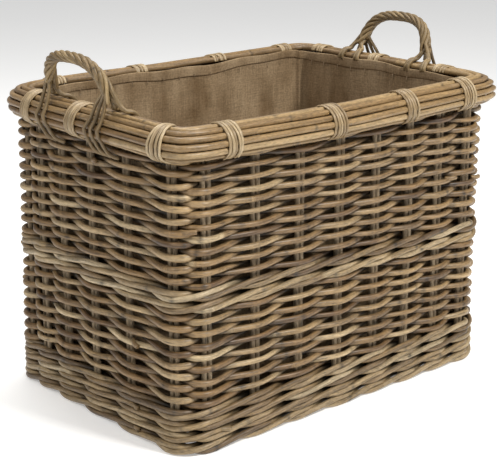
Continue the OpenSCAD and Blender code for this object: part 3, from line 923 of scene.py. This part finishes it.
# %% Hessian material
def hessian_look():
    """Plain weave of coarse jute: warp and weft are sine waves, and noise makes threads thick and thin."""
    look = Look("hessian")
    along, up, _ = look.parts(look.value("ShaderNodeUVMap", {"uv_map": "cloth"}))
    slub_warp = look.noise(look.vector(along * 700.0, up * 18.0, 0.0), 1.0, 2.0)
    slub_weft = look.noise(look.vector(along * 18.0, up * 700.0, 3.0), 1.0, 2.0)
    warp = (along * (2 * pi / 0.0016) + slub_warp * 2.0).sin()
    weft = (up * (2 * pi / 0.0016) + slub_weft * 2.0).sin()
    thread = warp * weft
    cloud = look.noise(look.vector(along * 9.0, up * 7.0, 1.0), 1.0, 3.0)
    fuzz = look.noise(look.vector(along * 260.0, up * 260.0, 2.0), 1.0, 3.0, 0.6)
    light = 1.0 + thread * 0.07 + (slub_warp - 0.5) * 0.8 + (slub_weft - 0.5) * 0.8 + (fuzz - 0.5) * 1.1
    stain = look.noise(look.vector(along * 26.0, up * 9.0, 7.0), 1.0, 4.0, 0.6)
    colour = look.mix((cloud * 2.0 + stain * 1.6 - 1.3).clamp(), (0.165, 0.105, 0.053), (0.375, 0.274, 0.167))
    return look.finish(Base_Color=look.shade(colour, light), Roughness=0.95, Specular_IOR_Level=0.15,
                       Normal=look.bump(thread * 0.5 + slub_warp + slub_weft + fuzz, 0.0006, 0.7))


hessian = hessian_look()

# %% Shape of the liner
liner_low, liner_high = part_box("liner_walls")
LINER_TOP, LINER_FOOT = liner_high[2], liner_low[2] + 0.001
LINER_OFFSET = -(HALF_X - liner_high[0])
CLOTH = 0.0009
# Each upright fold: where it is around the wall, its half width and how far it stands off.
FOLDS = [(chance.uniform(0, ROUND), chance.uniform(0.008, 0.030), chance.uniform(0.0015, 0.0062))
         for _ in range(34)]


def liner_hang(s, z):
    """How far the cloth hangs off the wall: a slow swell, upright folds and a pleat by each corner.

    The folds are flattened by the seam along the top, as the sixth power of the height."""
    s, z = np.broadcast_arrays(s, z)
    depth = (z - LINER_FOOT) / (LINER_TOP - LINER_FOOT)
    sewn = depth ** 6
    hang = 0.0016 + 0.0011 * np.sin(s * 2 * pi * 9 / ROUND + 5 * depth) * np.sin(3 * depth + 1)
    for place, width, deep in FOLDS:
        away = away_from(s, place + 0.02 * depth)
        hang = hang + deep * np.exp(-(away / width) ** 2) * (0.35 + 0.65 * depth) * (1 - 0.75 * sewn)
    for middle in CORNER_MIDDLES:
        away = away_from(s, middle)
        pleat = 0.0120 * np.exp(-((away - 0.010) / 0.0075) ** 2)
        hang = hang + pleat * (0.6 + 0.4 * depth) * (1 - 0.45 * sewn)
    return hang


def grid_piece(name, points, uv):
    """Sheet from a grid of points that closes round the wall, with the rows from one edge to the other."""
    quads, i, j = grid_quads(*points.shape[:2])
    quads = quads[:, [0, 3, 2, 1]]  # the rows run upwards, so this order faces the room
    corner = np.stack([uv[i, j], uv[i + 1, j], uv[i + 1, j + 1], uv[i, j + 1]], -2).reshape(-1, 4, 2)
    return add_piece(name, points.reshape(-1, 3), [quads], [corner], None, hessian, "cloth")


def thicken(piece):
    """Gives a sheet the cloth's thickness, half to either side, with its edges closed."""
    solid = piece.modifiers.new("thickness", "SOLIDIFY")
    solid.thickness = CLOTH
    solid.offset = 0


# %% Liner walls
way = np.linspace(0, ROUND, 640, endpoint=False)
levels = np.linspace(LINER_FOOT, LINER_TOP, 60)
around, height = np.meshgrid(way, levels)
edge = 0.0016 * np.sin(around * 2 * pi * 7 / ROUND) + 0.0012 * np.sin(around * 2 * pi * 17 / ROUND + 1)
share = (height - LINER_FOOT) / (LINER_TOP - LINER_FOOT)
wavy_z = height - (0.0005 + edge) * share ** 6 + top_share(height) * swell(around)
PUSH = corner_push(way, LINER_OFFSET)
walls = on_wall(around, LINER_OFFSET - CLOTH / 2 - liner_hang(around, height) + share ** 2 * PUSH, wavy_z)
cloth_along, cloth_up = np.meshgrid(np.linspace(0, ROUND, 641), levels)
liner = grid_piece("liner_walls_cloth", walls, np.stack([cloth_along, cloth_up], -1))
thicken(liner)

# %% Hem
hem_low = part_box("liner_hem")[0][2]
t = np.linspace(0, 1, 12)
drop = LINER_TOP - hem_low
bulge = 0.00081 * np.sin(pi * t) ** 0.5
hem_around, hem_down = np.meshgrid(way, t)
hem_z = wavy_z[-1][None, :] - drop * hem_down * (1 + 0.14 * np.sin(way * 2 * pi * 5 / ROUND + 1)) + 0.0005
hem_hang = liner_hang(hem_around, LINER_TOP - drop * hem_down) + bulge[:, None]
hem_points = on_wall(hem_around, LINER_OFFSET - CLOTH * 1.5 - hem_hang + PUSH, hem_z)
hem_along, hem_up = np.meshgrid(np.linspace(0, ROUND, 641), drop * t)
hem = grid_piece("liner_hem_cloth", hem_points, np.stack([hem_along, hem_up + 3.0], -1))
thicken(hem)

# %% Floor panel
def floor_panel():
    """Rings that shrink from the foot of the wall to a point in the middle, with shallow sine creases."""
    edge_points = on_wall(way, LINER_OFFSET - 0.0015, np.full(len(way), 0.0))[:, :2]
    rings = np.linspace(1, 0.02, 40)
    xy = np.concatenate([(edge_points[None] * rings[:, None, None]).reshape(-1, 2), [[0.0, 0.0]]])
    creases = np.sin(xy[:, 0] * 31 + 1.0) * np.sin(xy[:, 1] * 27) + 1
    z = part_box("liner_floor_panel")[0][2] + 0.001 + 0.0011 * creases
    m = len(way)
    quads = grid_quads(len(rings), m)[0]
    last = (len(rings) - 1) * m + np.arange(m)
    fan_in = np.stack([last, np.roll(last, -1), np.full(m, len(xy) - 1)], -1)
    return add_piece("liner_floor_cloth", np.column_stack([xy, z]), [quads, fan_in],
                     [xy[quads] + 5.0, xy[fan_in] + 5.0], None, hessian, "cloth")


panel = floor_panel()
thicken(panel)
for piece, node in ((liner, "liner_walls"), (hem, "liner_hem"), (panel, "liner_floor_panel")):
    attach(piece, "root")
    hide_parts(node)
LINER_ROUND = ROUND + 2 * pi * LINER_OFFSET

# %% Stitches
STITCHES, EDGE_DIP, STITCH_DROP = 61, 0.003, 0.0115


def stitches():
    """Short upright stitches at even places round the hem, each bowed a little off the cloth."""
    parts = []
    top = LINER_TOP - EDGE_DIP - STITCH_DROP
    for i in range(STITCHES):
        s = (i + 0.5) * ROUND / STITCHES
        z = np.linspace(top - 0.0045, top + 0.0035, 7)
        bow = 0.0007 * np.sin(np.linspace(0, pi, 7))
        away = LINER_OFFSET - 0.0042 - liner_hang(np.full(7, s), z)
        path = on_wall(np.full(7, s) + chance.normal(0, 0.0006), away - bow, z)
        parts.append(tube(path, 0.0006, up=(1, 0.3, 0), sides=6, tone=(0.6, 0.2, 0), start=i * 0.1))
    add_canes("liner_thread_stitches", parts, thread_look, ["liner_stitches"])


thread_look = cane_look("thread", [(0.0, (0.15, 0.10, 0.055)), (1.0, (0.24, 0.17, 0.10))], rough=0.8)
stitches()

# %% [markdown]
# ## Floor of the studio
# A wide pale plane under the basket catches its soft shadow.

# %% Studio floor
floor_mesh = bpy.data.meshes.new("studio_floor")
floor_mesh.from_pydata([(-9, -9, 0), (9, -9, 0), (9, 9, 0), (-9, 9, 0)], [], [(0, 1, 2, 3)])
floor = bpy.data.objects.new("studio_floor", floor_mesh)
bpy.context.scene.collection.objects.link(floor)
paper = Look("studio_paper")
place = paper.value("ShaderNodeTexCoord", {}, {}, 3)
floor_mesh.materials.append(paper.finish(
    Base_Color=paper.mix(paper.noise(place, 2.0), (0.86, 0.86, 0.86), (0.88, 0.88, 0.87)), Roughness=0.9,
    Emission_Color=(1, 1, 1, 1), Emission_Strength=0.30))
